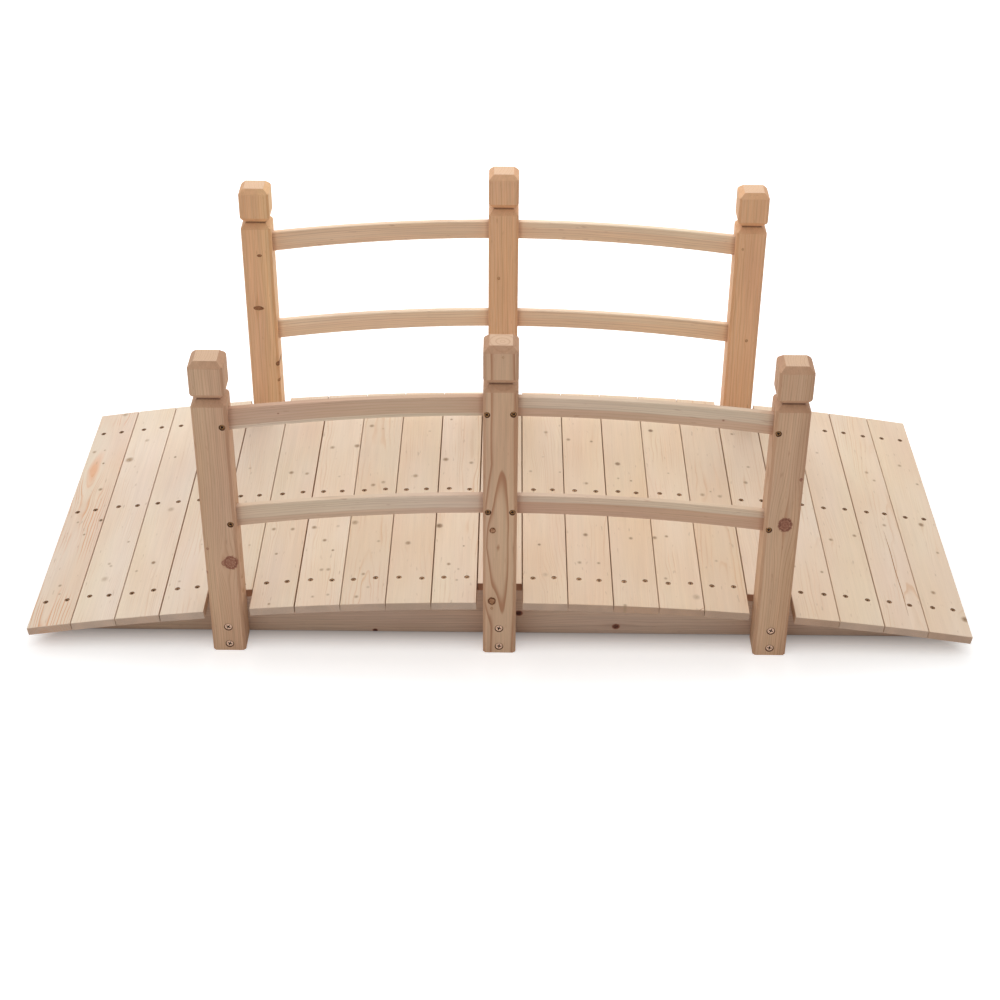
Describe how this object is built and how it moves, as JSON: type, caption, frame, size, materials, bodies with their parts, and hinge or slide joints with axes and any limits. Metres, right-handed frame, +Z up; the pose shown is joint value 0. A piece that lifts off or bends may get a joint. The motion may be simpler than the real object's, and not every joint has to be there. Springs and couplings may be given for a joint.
{
  "type": "garden moon bridge",
  "caption": "Small arched garden footbridge of plain softwood: cross planks on arched beams, square posts with grooved caps and curved side rails.",
  "frame": {"origin": "on the ground, under the middle of the bridge", "axes": "+X along the bridge, +Y across it, +Z up"},
  "size_m": [1.5002, 0.656, 0.5527],
  "materials": {
    "deck_wood": "sawn, unfinished",
    "beam_wood": "sawn, unfinished",
    "post_wood": "planed, unfinished",
    "rail_wood": "planed, unfinished"
  },
  "bodies": {
    "root": {"plank_01": "deck_wood", "plank_02": "deck_wood", "plank_03": "deck_wood", "plank_04": "deck_wood", "plank_05": "deck_wood", "plank_06": "deck_wood", "plank_07": "deck_wood", "plank_08": "deck_wood", "plank_09": "deck_wood", "plank_10": "deck_wood", "plank_11": "deck_wood", "plank_12": "deck_wood", "plank_13": "deck_wood", "plank_14": "deck_wood", "plank_15": "deck_wood", "plank_16": "deck_wood", "plank_17": "deck_wood", "plank_18": "deck_wood", "plank_19": "deck_wood", "plank_20": "deck_wood", "plank_21": "deck_wood", "beam_near": "beam_wood", "beam_middle": "beam_wood", "beam_far": "beam_wood", "post_near_left": "post_wood", "post_near_middle": "post_wood", "post_near_right": "post_wood", "post_far_left": "post_wood", "post_far_middle": "post_wood", "post_far_right": "post_wood", "rail_near_left_upper": "rail_wood", "rail_near_left_lower": "rail_wood", "rail_near_right_upper": "rail_wood", "rail_near_right_lower": "rail_wood", "rail_far_left_upper": "rail_wood", "rail_far_left_lower": "rail_wood", "rail_far_right_upper": "rail_wood", "rail_far_right_lower": "rail_wood"}
  },
  "joints": []
}
